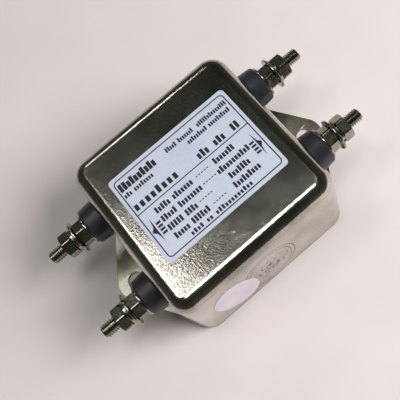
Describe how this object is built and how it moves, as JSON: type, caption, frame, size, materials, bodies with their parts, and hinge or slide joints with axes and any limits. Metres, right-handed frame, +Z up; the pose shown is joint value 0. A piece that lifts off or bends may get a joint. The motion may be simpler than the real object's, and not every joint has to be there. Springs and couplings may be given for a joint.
{
  "type": "power-line EMI filter",
  "caption": "Square drawn-steel can filter with insulated threaded stud terminals at both ends and a pierced mounting ear under each pair.",
  "frame": {"origin": "middle of the underside of the base plate", "axes": "+X from the line end to the load end, +Z up out of the label"},
  "size_m": [0.092, 0.0545, 0.0331],
  "materials": {
    "plated_can": "nickel-plated, satin",
    "plated_plate": "plated sheet, satin",
    "label_film": "semi-matt film",
    "sticker_paper": "matt paper",
    "black_phenolic": "moulded, matt",
    "plated_hardware": "plated, bright",
    "ivory_insulator": "moulded, matt",
    "insulating_paper": "matt",
    "brass_standoff": "turned",
    "green_board": "solder resist",
    "plated_screw": "plated",
    "black_nylon": "moulded",
    "coated_ferrite": "coated ferrite",
    "enamelled_copper": "enamelled copper wire",
    "yellow_case": "potted case",
    "blue_coating": "dipped coating",
    "resistor_lacquer": "lacquered",
    "tinned_copper": "bare wire"
  },
  "bodies": {
    "root": {"can": "plated_can", "base_plate": "plated_plate", "label": "label_film", "side_sticker": "sticker_paper", "bushing_line_a": "black_phenolic", "bushing_line_b": "black_phenolic", "bushing_load_a": "black_phenolic", "bushing_load_b": "black_phenolic", "stud_line_a": "plated_hardware", "stud_line_b": "plated_hardware", "stud_load_a": "plated_hardware", "stud_load_b": "plated_hardware", "insulators": "ivory_insulator", "seat_washers": "plated_hardware", "seat_nuts": "plated_hardware", "flat_washers": "plated_hardware", "spring_washers": "plated_hardware", "terminal_nuts": "plated_hardware", "insulation_sheet": "insulating_paper", "standoffs": "brass_standoff", "board": "green_board", "board_screws": "plated_screw", "choke_base": "black_nylon", "choke_core": "coated_ferrite", "winding_a": "enamelled_copper", "winding_b": "enamelled_copper", "x_capacitor_line": "yellow_case", "x_capacitor_load": "yellow_case", "y_capacitor_line": "blue_coating", "y_capacitor_load": "blue_coating", "resistor": "resistor_lacquer", "hookup_line_a": "tinned_copper", "hookup_line_b": "tinned_copper", "hookup_load_a": "tinned_copper", "hookup_load_b": "tinned_copper"}
  },
  "joints": []
}
